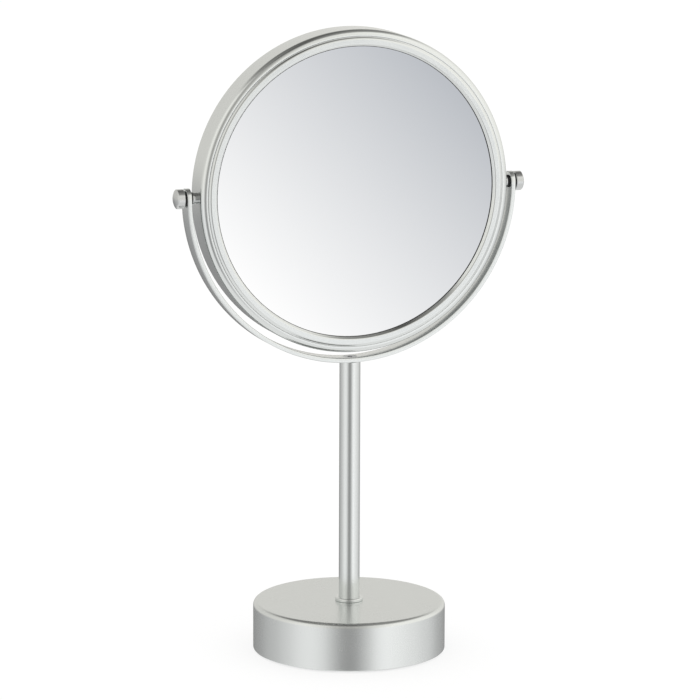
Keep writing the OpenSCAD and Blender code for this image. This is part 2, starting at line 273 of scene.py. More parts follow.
def rounded(section, radii, steps):
    """Rounds the corners of a closed half section. A support point beside each arc keeps the flats flat."""
    support = 0.05 * MM
    points = []
    count = len(section)
    for i, (corner, radius) in enumerate(zip(section, radii)):
        here = Vector(corner)
        if not radius:
            points.append(here)
            continue
        before = (Vector(section[i - 1]) - here).normalized()
        after = (Vector(section[(i + 1) % count]) - here).normalized()
        half = before.angle(after) / 2
        run = radius / math.tan(half)
        centre = here + (before + after).normalized() * radius / math.sin(half)
        first = (here + before * run - centre) / radius
        last = (here + after * run - centre) / radius
        points.append(here + before * (run + support))
        points += [centre + first.slerp(last, k / steps) * radius for k in range(steps + 1)]
        points.append(here + after * (run + support))
    return points


def close_on_axis(rise):
    """Draws the selected edge loop in to a point on the axis, raised by the given height."""
    bpy.ops.mesh.extrude_edges_move(TRANSFORM_OT_translate={"value": (0, 0, rise)})
    bpy.ops.mesh.merge(type="CENTER")


def select_open_edges():
    """Selects the edges that have a face on one side only."""
    bpy.ops.mesh.select_all(action="DESELECT")
    bpy.ops.mesh.select_non_manifold()


def turned(name, section, sides):
    """Turns a half section of (radius, height) points about +Z, by extruding and scaling a circle.
    A section that starts and ends off the axis is a closed ring."""
    rings = [p for p in section if p[0] > 0]
    radius, height = rings[0]
    pick_nothing()
    bpy.ops.mesh.primitive_circle_add(vertices=sides, radius=radius, location=(0, 0, height))
    piece = bpy.context.active_object
    piece.name = piece.data.name = name
    bpy.ops.object.transform_apply(location=True, rotation=True, scale=True)
    bpy.ops.object.mode_set(mode="EDIT")
    bpy.ops.mesh.select_mode(type="EDGE")
    bpy.ops.mesh.select_all(action="SELECT")
    for next_radius, next_height in rings[1:]:
        bpy.ops.mesh.extrude_edges_move(
            TRANSFORM_OT_translate={"value": (0, 0, next_height - height)})
        scale = next_radius / radius
        bpy.ops.transform.resize(value=(scale, scale, 1), center_override=(0, 0, next_height))
        radius, height = next_radius, next_height
    if section[-1][0] == 0:
        close_on_axis(section[-1][1] - height)
    if section[0][0] == 0:
        select_open_edges()
        close_on_axis(section[0][1] - rings[0][1])
    if len(rings) == len(section):
        select_open_edges()
        bpy.ops.mesh.bridge_edge_loops()
    tidy_shell(piece)
    return piece


def cut(piece, cutters):
    """Cuts the cutters out of a piece and removes them."""
    for cutter in cutters:
        pick(piece)
        bpy.ops.object.modifier_add(type="BOOLEAN")
        tool = piece.modifiers[-1]
        tool.operation = "DIFFERENCE"
        tool.object = cutter
        bpy.ops.object.modifier_apply(modifier=tool.name)
        bpy.data.objects.remove(cutter)


def drill(radius, length, sides=64):
    """A round cutter along +Z, from the origin."""
    return turned("drill", [(0, 0), (radius, 0), (radius, length), (0, length)], sides)


def finish_piece(piece, body, finish, slot, *nodes):
    """Gives a piece its finish and its place in the frame."""
    piece.data.materials.clear()
    piece.data.materials.append(FINISHES[finish]())
    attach(piece, body)
    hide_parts(*nodes)


# ---- Finishes ----


def group_tree(name, inputs, outputs):
    """A new shader node group with its sockets; inputs are (name, kind, default)."""
    tree = bpy.data.node_groups.new(name, "ShaderNodeTree")
    for label, kind, default in inputs:
        socket = tree.interface.new_socket(name=label, in_out="INPUT", socket_type=kind)
        if default is not None:
            socket.default_value = default
    for label, kind in outputs:
        tree.interface.new_socket(name=label, in_out="OUTPUT", socket_type=kind)
    return tree, tree.nodes.new("NodeGroupInput"), tree.nodes.new("NodeGroupOutput")


def feed(tree, socket, value):
    """Links a socket to another one, or sets its number."""
    if isinstance(value, bpy.types.NodeSocket):
        tree.links.new(value, socket)
    else:
        socket.default_value = value


def add(tree, kind, inputs=(), **settings):
    """A new node with its settings and its inputs, given as {socket name or number: value}."""
    node = tree.nodes.new(kind)
    for key, value in settings.items():
        setattr(node, key, value)
    for key, value in dict(inputs).items():
        feed(tree, node.inputs[key], value)
    return node


def sum_up(tree, operation, *values):
    """A math node's result."""
    node = add(tree, "ShaderNodeMath", dict(enumerate(values)), operation=operation)
    return node.outputs[0]


def vector_sum(tree, operation, *values, output="Vector"):
    """A vector math node's result."""
    node = add(tree, "ShaderNodeVectorMath", dict(enumerate(values)), operation=operation)
    return node.outputs[output]


def spread(tree, value, from_low, from_high, to_low, to_high, ease="LINEAR"):
    """A number carried over from one range to another."""
    node = add(tree, "ShaderNodeMapRange", {
        "Value": value, "From Min": from_low, "From Max": from_high,
        "To Min": to_low, "To Max": to_high}, interpolation_type=ease)
    return node.outputs["Result"]


def blasted_grain():
    """Fine grain of a bead-blasted and plated surface, with slow changes of gloss and tone."""
    name = "Blasted grain"
    if name in bpy.data.node_groups:
        return bpy.data.node_groups[name]
    tree, given, result = group_tree(name, [
        ("Place", "NodeSocketVector", None),
        ("Colour", "NodeSocketColor", (0.73, 0.75, 0.745, 1)),
        ("Roughness", "NodeSocketFloat", 0.3),
        ("Grain per metre", "NodeSocketFloat", 1500.0),
        ("Depth", "NodeSocketFloat", 0.00002),
        ("Cloud", "NodeSocketFloat", 0.05),
    ], [("Colour", "NodeSocketColor"), ("Roughness", "NodeSocketFloat"), ("Normal", "NodeSocketVector")])
    place = given.outputs["Place"]
    grain = add(tree, "ShaderNodeTexNoise", {
        "Vector": place, "Scale": given.outputs["Grain per metre"], "Detail": 3.0, "Roughness": 0.6})
    pits = add(tree, "ShaderNodeTexVoronoi", {
        "Vector": place, "Scale": given.outputs["Grain per metre"]})
    cloud = add(tree, "ShaderNodeTexNoise", {"Vector": place, "Scale": 45.0, "Detail": 4.0})
    height = sum_up(tree, "ADD", grain.outputs["Fac"], sum_up(
        tree, "MULTIPLY", pits.outputs["Distance"], 0.5))
    bump = add(tree, "ShaderNodeBump", {
        "Height": height, "Distance": given.outputs["Depth"], "Strength": 1.0})
    drift = spread(tree, cloud.outputs["Fac"], 0.3, 0.7, -1.0, 1.0)
    drift = sum_up(tree, "MULTIPLY", drift, given.outputs["Cloud"])
    speck = spread(tree, grain.outputs["Fac"], 0.3, 0.7, -0.015, 0.015)
    gloss = sum_up(tree, "ADD", given.outputs["Roughness"], sum_up(tree, "ADD", drift, speck))
    tone = sum_up(tree, "ADD", 1.0, sum_up(tree, "ADD", sum_up(
        tree, "MULTIPLY", drift, 0.4), speck))
    colour = vector_sum(tree, "MULTIPLY", given.outputs["Colour"], tone)
    tree.links.new(colour, result.inputs["Colour"])
    tree.links.new(gloss, result.inputs["Roughness"])
    tree.links.new(bump.outputs["Normal"], result.inputs["Normal"])
    return tree


def brush_lines():
    """Fine lines that run round an axis: on a flat face as rings, on a rim along its length."""
    name = "Brush lines"
    if name in bpy.data.node_groups:
        return bpy.data.node_groups[name]
    tree, given, result = group_tree(name, [
        ("Place", "NodeSocketVector", None),
        ("Lines per metre", "NodeSocketFloat", 6000.0),
        ("Line length", "NodeSocketFloat", 0.02),
    ], [("Height", "NodeSocketFloat")])
    parts = add(tree, "ShaderNodeSeparateXYZ", {0: given.outputs["Place"]})
    x, y, z = parts.outputs
    radius = sum_up(tree, "SQRT", sum_up(tree, "ADD", sum_up(
        tree, "MULTIPLY", x, x), sum_up(tree, "MULTIPLY", y, y)))
    turn = sum_up(tree, "ARCTAN2", y, x)
    along = sum_up(tree, "DIVIDE", sum_up(tree, "MULTIPLY", turn, radius),
                   given.outputs["Line length"])
    across = sum_up(tree, "MULTIPLY", radius, given.outputs["Lines per metre"])
    width = sum_up(tree, "MULTIPLY", z, given.outputs["Lines per metre"])
    spot = add(tree, "ShaderNodeCombineXYZ", {0: across, 1: along, 2: width})
    lines = add(tree, "ShaderNodeTexNoise", {
        "Vector": spot.outputs[0], "Scale": 1.0, "Detail": 2.0})
    tree.links.new(lines.outputs["Fac"], result.inputs["Height"])
    return tree


def blank_finish(name, **sockets):
    """A new material with its shader; the sockets given are even all over."""
    material = bpy.data.materials.new(name)
    material.use_nodes = True
    tree = material.node_tree
    shader = tree.nodes["Principled BSDF"]
    for label, value in sockets.items():
        shader.inputs[label.replace("_", " ")].default_value = value
    place = tree.nodes.new("ShaderNodeTexCoord").outputs["Object"]
    return material, tree, shader, place


def grained(name, colour, roughness, grain, depth, cloud, **sockets):
    """A finish with a fine grain all over."""
    material, tree, shader, place = blank_finish(name, **sockets)
    group = add(tree, "ShaderNodeGroup", node_tree=blasted_grain())
    for label, value in (("Place", place), ("Colour", colour), ("Roughness", roughness),
                         ("Grain per metre", grain), ("Depth", depth), ("Cloud", cloud)):
        feed(tree, group.inputs[label], value)
    tree.links.new(group.outputs["Colour"], shader.inputs["Base Color"])
    tree.links.new(group.outputs["Roughness"], shader.inputs["Roughness"])
    tree.links.new(group.outputs["Normal"], shader.inputs["Normal"])
    return material


def lined(name, colour, roughness, centre, turn, lines, length, depth, **sockets):
    """A blasted finish with brush lines round an axis; centre and turn bring that axis to +Z."""
    material = grained(name, colour, roughness, 2200.0, 0.000006, 0.03, **sockets)
    tree = material.node_tree
    shader = tree.nodes["Principled BSDF"]
    blasted = shader.inputs["Normal"].links[0].from_socket
    place = tree.nodes["Texture Coordinate"].outputs["Object"]
    shift = vector_sum(tree, "SUBTRACT", place, centre)
    mapping = add(tree, "ShaderNodeMapping", {"Vector": shift, "Rotation": turn})
    group = add(tree, "ShaderNodeGroup", node_tree=brush_lines())
    feed(tree, group.inputs["Place"], mapping.outputs["Vector"])
    feed(tree, group.inputs["Lines per metre"], lines)
    feed(tree, group.inputs["Line length"], length)
    bump = add(tree, "ShaderNodeBump", {
        "Height": group.outputs["Height"], "Distance": depth, "Normal": blasted})
    tree.links.new(bump.outputs["Normal"], shader.inputs["Normal"])
    return material


def once(build):
    """Makes a finish the first time it is asked for, and gives the same one after that."""
    made = []

    def get():
        if not made:
            made.append(build())
        return made[0]

    return get


def finishes():
    """The user's finish settings."""
    return bpy.context.scene.mirror_finishes


@once
def satin_nickel():
    """Satin nickel plate over a bead-blasted surface."""
    return grained("Satin nickel", finishes().nickel, finishes().nickel_roughness,
                   1400.0, 0.000014, 0.02, Metallic=1.0)


@once
def cover_nickel():
    """The foot cover's duller satin nickel."""
    return grained("Satin nickel cover", finishes().nickel, finishes().cover_roughness,
                   1400.0, 0.000007, 0.012, Metallic=1.0)


@once
def brushed_nickel():
    """Satin nickel on the yoke's strip, brushed along its length."""
    return lined("Brushed nickel strip", finishes().nickel, finishes().nickel_roughness,
                 HEAD_CENTRE, FACING["front"], 5000.0, 0.03, 0.00003, Metallic=1.0)


@once
def turned_nickel():
    """Satin nickel on the knobs and spacers, with turning marks."""
    return lined("Turned nickel", finishes().turned, finishes().nickel_roughness,
                 HEAD_CENTRE, FACING["left"], 4000.0, 0.04, 0.00002, Metallic=1.0)


@once
def silvered_glass():
    """Back-silvered float glass: a clear mirror with the least haze of a wiped surface."""
    material, tree, shader, place = blank_finish(
        "Silvered glass", Metallic=1.0, Base_Color=finishes().mirror)
    haze = add(tree, "ShaderNodeTexNoise", {"Vector": place, "Scale": 30.0, "Detail": 3.0})
    tree.links.new(spread(tree, haze.outputs["Fac"], 0.4, 0.75, 0.0, 0.02),
                   shader.inputs["Roughness"])
    return material


@once
def zinc_plate():
    """Bright zinc plate on the fixings."""
    return grained("Zinc plate", finishes().zinc, 0.34, 2500.0, 0.00001, 0.06, Metallic=1.0)


@once
def painted_iron():
    """Black paint over rough sand-cast iron."""
    return grained("Painted iron", finishes().iron, 0.55, 600.0, 0.0002, 0.1)


@once
def core_plastic():
    """Matt moulded plastic of the core."""
    return grained("Core plastic", finishes().plastic, 0.5, 1200.0, 0.00003, 0.04)


@once
def black_nylon():
    """Matt black nylon of the washers and gaskets."""
    return grained("Black nylon", finishes().nylon, 0.5, 2500.0, 0.00001, 0.04)


@once
def foam_rubber():
    """Closed-cell foam rubber of the pads."""
    return grained("Foam rubber", finishes().rubber, 0.85, 900.0, 0.00025, 0.05)


FINISHES = {
    "satin_nickel": satin_nickel,
    "cover_nickel": cover_nickel,
    "brushed_nickel": brushed_nickel,
    "turned_nickel": turned_nickel,
    "mirror_glass": silvered_glass,
    "zinc_steel": zinc_plate,
    "ballast_iron": painted_iron,
    "core_plastic": core_plastic,
    "black_washer": black_nylon,
    "black_pad": foam_rubber,
}


# ---- Pieces ----


def section_of_bezel(edges, steps):
    """Half section of a bezel: skirt, sloped riser, flat crest and a bevelled lip."""
    inner = BEZEL_R - BEZEL_SKIRT
    corners = [
        ((inner, SKIRT_Y), 0.1 * MM),
        ((BEZEL_R, SKIRT_Y), 0.1 * MM),
        ((BEZEL_R, LIP_Y + RISER_FOOT_H), 0),
        ((BEZEL_R - RISER_FOOT_W, LIP_Y + RISER_FOOT_H), edges.riser_foot),
        ((CREST_OUT_R, CREST_Y), edges.crest_outer),
        ((CREST_IN_R, CREST_Y), edges.crest_inner),
        ((MOUTH_R, SEAT_Y + 0.2 * MM), 0.08 * MM),
        ((MOUTH_R, SEAT_Y), 0.05 * MM),
        ((inner, SEAT_Y), 0),
    ]
    return rounded([c for c, _ in corners], [r for _, r in corners], steps)


def section_of_rim(edge_r, steps):
    """Half section of the rim: a wall with both edges rolled inwards to a lip with rounded ends."""
    flat = LIP_Y - RIM_EDGE_R
    corner = HEAD_R - RIM_EDGE_R
    lip = corner - RIM_LIP_W
    support = 0.1 * MM
    inner_r = RIM_EDGE_R - RIM_WALL
    turn = [math.pi / 2 * k / (3 * steps) for k in range(3 * steps + 1)]
    upper = [(lip, LIP_Y - RIM_WALL), (corner, LIP_Y - RIM_WALL)]
    upper += [(corner + inner_r * math.sin(a), flat + inner_r * math.cos(a)) for a in turn[1:]]
    outer = [(corner + RIM_EDGE_R * math.cos(a), flat + RIM_EDGE_R * math.sin(a)) for a in turn]
    end = [(lip + edge_r - edge_r * math.sin(math.pi / 2 * k / steps),
            LIP_Y - edge_r + edge_r * math.cos(math.pi / 2 * k / steps)) for k in range(steps + 1)]
    side = [(HEAD_R, flat - support)] + outer + [(corner - support / 2, LIP_Y)] + end
    inside = [(r, -h) for r, h in upper] + upper[::-1]
    return inside + side[::-1] + [(r, -h) for r, h in side]


class MIRROR_OT_rim(bpy.types.Operator):
    """Turn the head's rim with its two rolled edges"""

    bl_idname = "mirror.rim"
    bl_label = "Head rim"

    def execute(self, context):
        smoothness = context.scene.mirror_smoothness
        section = section_of_rim(context.scene.mirror_edges.lip, smoothness.corner_steps)
        rim = turned("head_rim_shell", section, smoothness.large_sides)
        settle(rim, "front", HEAD_CENTRE)
        smooth(rim)
        finish_piece(rim, "head", "satin_nickel", "satin_nickel", "head_rim")
        return {"FINISHED"}


class MIRROR_OT_bezels(bpy.types.Operator):
    """Turn the two bezels that hold the glasses"""

    bl_idname = "mirror.bezels"
    bl_label = "Bezels"

    def execute(self, context):
        smoothness = context.scene.mirror_smoothness
        section = section_of_bezel(context.scene.mirror_edges, smoothness.corner_steps)
        for facing in ("front", "rear"):
            bezel = turned(f"{facing}_bezel_ring", section, smoothness.large_sides)
            settle(bezel, facing, HEAD_CENTRE)
            smooth(bezel)
            finish_piece(bezel, "head", "satin_nickel", "satin_nickel", f"{facing}_bezel")
        return {"FINISHED"}


class MIRROR_OT_magnifier(bpy.types.Operator):
    """Turn the hollow magnifying glass at the rear"""

    bl_idname = "mirror.magnifier"
    bl_label = "Magnifying glass"

    def execute(self, context):
        steps = 24
        centre = GLASS_Y + math.sqrt(MAGNIFIER_R ** 2 - GLASS_R ** 2)
        radii = [GLASS_R * k / steps for k in range(steps + 1)]
        back = [(r, centre - math.sqrt((MAGNIFIER_R + GLASS_T) ** 2 - r ** 2)) for r in radii]
        face = [(r, centre - math.sqrt(MAGNIFIER_R ** 2 - r ** 2)) for r in radii]
        glass = turned("magnifier_glass", back + face[::-1],
                       context.scene.mirror_smoothness.large_sides)
        settle(glass, "rear", HEAD_CENTRE)
        smooth(glass)
        finish_piece(glass, "head", "mirror_glass", "mirror_glass", "rear_glass")
        return {"FINISHED"}


class MIRROR_OT_yoke(bpy.types.Operator):
    """Bend the yoke's strip, round its ends and set its countersunk screw"""

    bl_idname = "mirror.yoke"
    bl_label = "Yoke and screw"

    def execute(self, context):
        self.bend_strip(context)
        self.turn_screw(context)
        return {"FINISHED"}

    def bend_strip(self, context):
        """Bends the strip through half a turn, rounds its ends and cuts its holes."""
        middle = YOKE_R - YOKE_T / 2
        pick_nothing()
        bpy.ops.mesh.primitive_plane_add(size=1, location=(-middle, 0, PIVOT_Z))
        strip = context.active_object
        strip.name = strip.data.name = "yoke_strip"
        strip.scale = (YOKE_T, YOKE_W, 1)
        bpy.ops.object.transform_apply(location=True, rotation=True, scale=True)
        bpy.ops.object.mode_set(mode="EDIT")
        bpy.ops.mesh.select_all(action="SELECT")
        bpy.ops.mesh.bevel(affect="VERTICES", offset=context.scene.mirror_edges.strip, segments=4)
        bpy.ops.mesh.select_all(action="SELECT")
        bpy.ops.mesh.spin(steps=180, angle=math.pi, center=HEAD_CENTRE, axis=(0, 1, 0))
        bpy.ops.object.mode_set(mode="OBJECT")
        for _, side in SIDES:
            self.round_end(strip, side)
        tidy_shell(strip)
        drills = []
        for facing, side in SIDES:
            hole = drill(STUD_HOLE_R, 3 * YOKE_T)
            settle(hole, facing, HEAD_CENTRE + Vector((side * (YOKE_R - 2 * YOKE_T), 0, 0)))
            drills.append(hole)
        seat_r, bore_r = reach("yoke_screw", "X") + ROOM, SCREW_SHANK_R + ROOM
        seat = turned("seat", [(0, -YOKE_T), (bore_r, -YOKE_T), (bore_r, bore_r - seat_r),
                               (seat_r, 0), (seat_r, YOKE_T), (0, YOKE_T)], 64)
        settle(seat, None, (0, 0, reach("yoke_screw", "Z")))
        cut(strip, drills + [seat])
        smooth(strip)
        finish_piece(strip, "stand", "brushed_nickel", "satin_nickel", "yoke")

    def round_end(self, strip, side):
        """Draws one end of the strip up to a half disc round the pivot."""
        pick(strip)
        bpy.ops.object.mode_set(mode="EDIT")
        bpy.ops.mesh.select_mode(type="VERT")
        bpy.ops.mesh.select_all(action="DESELECT")
        bpy.ops.object.mode_set(mode="OBJECT")
        for point in strip.data.vertices:
            point.select = point.co.x * side > 0 and abs(point.co.z - PIVOT_Z) < TOUCH
        bpy.ops.object.mode_set(mode="EDIT")
        if not strip.data.total_face_sel:
            bpy.ops.mesh.edge_face_add()
        bpy.ops.mesh.select_mode(type="FACE")
        steps, last = 14, math.radians(84)
        width, height = 1.0, 0.0
        for k in range(1, steps + 1):
            angle = last * k / steps
            rise = YOKE_W / 2 * math.sin(angle) - height
            bpy.ops.mesh.extrude_region_move(TRANSFORM_OT_translate={"value": (0, 0, rise)})
            bpy.ops.transform.resize(value=(1, math.cos(angle) / width, 1),
                                     center_override=(0, 0, PIVOT_Z + height + rise))
            width, height = math.cos(angle), height + rise
        bpy.ops.object.mode_set(mode="OBJECT")

    def turn_screw(self, context):
        """Turns the countersunk screw and sinks its socket."""
        low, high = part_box("yoke_screw")
        head_r, land, chamfer = high[0], 0.15 * MM, 0.4 * MM
        cone = head_r - SCREW_SHANK_R
        length = high[2] - low[2]
        screw = turned("yoke_screw_turned", [
            (0, 0), (SCREW_SHANK_R - chamfer, 0), (SCREW_SHANK_R, chamfer),
            (SCREW_SHANK_R, length - cone),
            (head_r, length - land), (head_r, length - 0.5 * land), (head_r - 0.5 * land, length),
            (0, length)], context.scene.mirror_smoothness.small_sides)
        socket = turned("socket", [(0, 0), (SOCKET_R, 0.6 * MM), (SOCKET_R, 2 * SOCKET_DEPTH),
                                   (0, 2 * SOCKET_DEPTH)], 6)
        settle(socket, None, (0, 0, length - SOCKET_DEPTH))
        cut(screw, [socket])
        settle(screw, None, (0, 0, low[2]))
        smooth(screw, 25)
        finish_piece(screw, "stand", "zinc_steel", "zinc_steel", "yoke_screw")


class MIRROR_OT_foot(bpy.types.Operator):
    """Turn the foot's cover and its pad"""

    bl_idname = "mirror.foot"
    bl_label = "Foot cover and pad"

    def execute(self, context):
        edges = context.scene.mirror_edges
        smoothness = context.scene.mirror_smoothness
        inner = FOOT_R - COVER_WALL
        ceiling = FOOT_TOP - COVER_TOP
        corners = [
            ((inner, FOOT_RIM_Z), 0.2 * MM), ((FOOT_R, FOOT_RIM_Z), edges.cover_foot),
            ((FOOT_R, FOOT_TOP), edges.cover_edge), ((BOLT_HOLE_R, FOOT_TOP), 0),
            ((BOLT_HOLE_R, ceiling), 0), ((inner, ceiling), 0.6 * MM),
        ]
        section = rounded([c for c, _ in corners], [r for _, r in corners],
                          3 * smoothness.corner_steps)
        cover = turned("foot_cover_shell", section, smoothness.large_sides)
        smooth(cover)
        finish_piece(cover, "stand", "cover_nickel", "satin_nickel", "base_cover")

        pad_r, pad_t = reach("foot_pad", "X"), reach("foot_pad", "Z")
        arcs = rounded([(0, 0), (pad_r, 0), (pad_r, pad_t), (0, pad_t)],
                       [0, 0.5 * MM, 0.2 * MM, 0], smoothness.corner_steps)
        pad = turned("foot_pad_disc", arcs, smoothness.large_sides)
        smooth(pad)
        finish_piece(pad, "stand", "black_pad", "black_pad", "foot_pad")
        return {"FINISHED"}


class MIRROR_OT_column(bpy.types.Operator):
    """Turn the column's tube, cope its top to the yoke, and turn the collar at its foot"""

    bl_idname = "mirror.column"
    bl_label = "Column and collar"

    def execute(self, context):
        sides = context.scene.mirror_smoothness.small_sides
        steps = context.scene.mirror_smoothness.corner_steps
        small = context.scene.mirror_edges.small
        low, high = start("column_tube", "Z"), reach("column_tube", "Z")
        tube = turned("column_sleeve", [
            (COLUMN_R - TUBE_WALL, low), (COLUMN_R, low),
            (COLUMN_R, high + MM), (COLUMN_R - TUBE_WALL, high + MM)], 2 * sides)
        saddle = turned("saddle", [(0, -COLUMN_R * 2), (YOKE_R, -COLUMN_R * 2),
                                   (YOKE_R, COLUMN_R * 2), (0, COLUMN_R * 2)], 720)
        settle(saddle, "front", HEAD_CENTRE)
        cut(tube, [saddle])
        smooth(tube)
        finish_piece(tube, "stand", "satin_nickel", "satin_nickel", "column_tube")

        inner, outer = COLUMN_R + ROOM, reach("column_collar", "X")
        foot, top = start("column_collar", "Z"), reach("column_collar", "Z")
        collar = turned("collar_ring", rounded(
            [(inner, foot), (outer, foot), (outer, top), (inner, top)],
            [0, 3 * small, 0.8 * MM, small], 2 * steps), 2 * sides)
        smooth(collar)
        finish_piece(collar, "stand", "satin_nickel", "satin_nickel", "column_collar")
        return {"FINISHED"}


class MIRROR_OT_pivots(bpy.types.Operator):
    """Turn the spacers between the head and the yoke, and the hand knobs"""

    bl_idname = "mirror.pivots"
    bl_label = "Spacers and hand knobs"

    def execute(self, context):
        sides = context.scene.mirror_smoothness.small_sides
        steps = context.scene.mirror_smoothness.corner_steps
        small = context.scene.mirror_edges.small
        first, last = start("right_spacer", "X"), reach("right_spacer", "X")
        wide = reach("right_spacer", "Y")
        neck, step = wide - SPACER_LIP, last - SPACER_COLLAR
        corners = [
            ((STUD_HOLE_R, first), 0), ((neck, first), 0), ((neck, step), 0.05 * MM),
            ((wide, step), small), ((wide, last), small), ((STUD_HOLE_R, last), 0)]
        spacer_section = rounded([c for c, _ in corners], [r for _, r in corners], steps)

        low, high = start("right_knob", "X"), reach("right_knob", "X")
        knob_r = reach("right_knob", "Y")
        drum_end = high - KNOB_DOME
        face_r = knob_r - KNOB_BEVEL
        ball = (face_r ** 2 + KNOB_DOME ** 2) / (2 * KNOB_DOME)
        radii = [face_r * (1 - k / 8) for k in range(9)]
        domed = [(r, high - ball + math.sqrt(ball ** 2 - r ** 2)) for r in radii]
        drum = rounded(
            [(STUD_HOLE_R, low), (face_r, low), (knob_r, low + KNOB_BEVEL),
             (knob_r, drum_end - KNOB_BEVEL), (face_r, drum_end)],
            [0, 0.1 * MM, 0.1 * MM, 0.15 * MM, 0], steps)
        bore_end = drum_end - KNOB_END_WALL
        knob_section = [(0, bore_end), (STUD_HOLE_R, bore_end)] + drum[:-1] + domed
        for facing, _ in SIDES:
            spacer = turned(f"{facing}_spacer_turned", spacer_section, sides)
            settle(spacer, facing, HEAD_CENTRE)
            smooth(spacer, 30)
            finish_piece(spacer, "head", "turned_nickel", "satin_nickel", f"{facing}_spacer")
            knob = turned(f"{facing}_knob_turned", knob_section, sides)
            settle(knob, facing, HEAD_CENTRE)
            smooth(knob, 30)
            finish_piece(knob, f"{facing}_hand_knob", "turned_nickel", "satin_nickel",
                         f"{facing}_knob")
        return {"FINISHED"}


class MIRROR_OT_carried(bpy.types.Operator):
    """Give the frame's own nodes their finishes"""

    bl_idname = "mirror.carried"
    bl_label = "Finishes of the frame"

    def execute(self, context):
        slots = {s["node"]: s["material_slot"] for s in frame["record"]["subparts"]}
        for name, node in frame["nodes"].items():
            node.data.materials.clear()
            node.data.materials.append(FINISHES[slots[name]]())
        return {"FINISHED"}


# ---- Stage ----


def surroundings(tree, way):
    """What the metal reflects: bright sides, dim behind the viewer and overhead, a pale table below.
    The rings give the tone at each turn away from the viewer, in degrees, below and above the horizon."""
    height = add(tree, "ShaderNodeSeparateXYZ", {0: way}).outputs["Z"]
    lift = sum_up(tree, "DEGREES", sum_up(tree, "ARCSINE", height))
    level = vector_sum(tree, "NORMALIZE", vector_sum(tree, "MULTIPLY", way, (1, 1, 0)))
    side = math.cos(VIEWER_TURN), math.sin(VIEWER_TURN)
    towards = vector_sum(tree, "DOT_PRODUCT", level, (side[1], -side[0], 0), output="Value")
    sideways = vector_sum(tree, "DOT_PRODUCT", level, (*side, 0), output="Value")
    turn = sum_up(tree, "DEGREES", sum_up(tree, "ARCCOSINE", towards))

    low_ring = tone_ramp(tree, turn, [
        (0, 0.34), (8, 0.38), (20, 0.68), (32, 0.96), (46, 1.06), (60, 1.03), (80, 0.87),
        (105, 0.70), (140, 0.43), (160, 0.33), (180, 0.26)])
    high_ring = tone_ramp(tree, turn, [
        (0, 0.42), (14, 0.55), (32, 0.95), (55, 1.12), (100, 0.96), (150, 0.83), (180, 0.81)])
    high_ring = mixed(tree, 1.0, high_ring, (1.0, 0.985, 0.94, 1), "MULTIPLY")
    ring = mixed(tree, spread(tree, lift, -16, 2, 0, 1, "SMOOTHSTEP"), low_ring, high_ring)
    lean = sum_up(tree, "MULTIPLY", sideways, spread(tree, turn, 35, 100, 0, 0.15))
    ring = mixed(tree, 1.0, ring, sum_up(tree, "ADD", lean, 1.0), "MULTIPLY")

    early = spread(tree, turn, 105, 150, 0, 14)
    overhead = tone_ramp(tree, sum_up(tree, "ADD", lift, early), [
        (0, 1.0), (40, 1.0), (60, 0.30), (90, 0.16)])
    glow = mixed(tree, 1.0, ring, overhead, "MULTIPLY")
    table = spread(tree, lift, -26, -38, 0, 1, "SMOOTHSTEP")
    return mixed(tree, table, glow, (0.95, 0.95, 0.94, 1))


def window(tree, way, glow):
    """Adds the patch that the flat glass reflects: white at its lower left, blue-grey at its upper right."""
    turn, lift = -VIEWER_TURN, -VIEWER_LIFT
    ahead = Vector((math.sin(turn) * math.cos(lift), -math.cos(turn) * math.cos(lift), math.sin(lift)))
    right = Vector((math.cos(turn), math.sin(turn), 0))
    slope = (right + ahead.cross(right)).normalized()
    across = vector_sum(tree, "DOT_PRODUCT", way, slope, output="Value")
    fade = add(tree, "ShaderNodeValToRGB", {0: spread(tree, across, -0.036, 0.036, 0, 1)})
    low, high = fade.color_ramp.elements
    low.color = (1.12, 1.12, 1.12, 1)
    high.color = (0.545, 0.57, 0.61, 1)
    near = vector_sum(tree, "DOT_PRODUCT", way, ahead, output="Value")
    apart = sum_up(tree, "DEGREES", sum_up(tree, "ARCCOSINE", near))
    halo = spread(tree, apart, 16, 6, 1.0, 1.16, "SMOOTHSTEP")
    glow = mixed(tree, 1.0, glow, halo, "MULTIPLY")
    patch = spread(tree, apart, 4.2, 2.5, 0, 1, "SMOOTHSTEP")
    return mixed(tree, patch, glow, fade.outputs["Color"])


def studio_world(light):
    """Even light on matt surfaces, a plain backdrop, and the surroundings in reflections."""
    world = bpy.data.worlds.new("Soft studio")
    bpy.context.scene.world = world
    world.use_nodes = True
    tree = world.node_tree
    way = tree.nodes.new("ShaderNodeTexCoord").outputs["Generated"]
    seen = window(tree, way, surroundings(tree, way))
    rays = tree.nodes.new("ShaderNodeLightPath")
    even = (light.lamp_glow,) * 3 + (1,)
    paper = (light.paper_glow,) * 3 + (1,)
    seen = mixed(tree, rays.outputs["Is Diffuse Ray"], seen, even)
    seen = mixed(tree, rays.outputs["Is Camera Ray"], seen, paper)
    tree.links.new(seen, tree.nodes["Background"].inputs["Color"])


def tone_ramp(tree, value, tones):
    """A grey that follows a list of (value, tone), the values running from 0 up."""
    full = tones[-1][0]
    node = add(tree, "ShaderNodeValToRGB", {0: sum_up(tree, "DIVIDE", value, full)})
    node.color_ramp.interpolation = "EASE"
    stops = node.color_ramp.elements
    stops[0].position, stops[1].position = 0, 1
    for position, _ in tones[1:-1]:
        stops.new(position / full)
    for stop, (_, tone) in zip(stops, tones):
        stop.color = (tone, tone, tone, 1)
    return node.outputs["Color"]


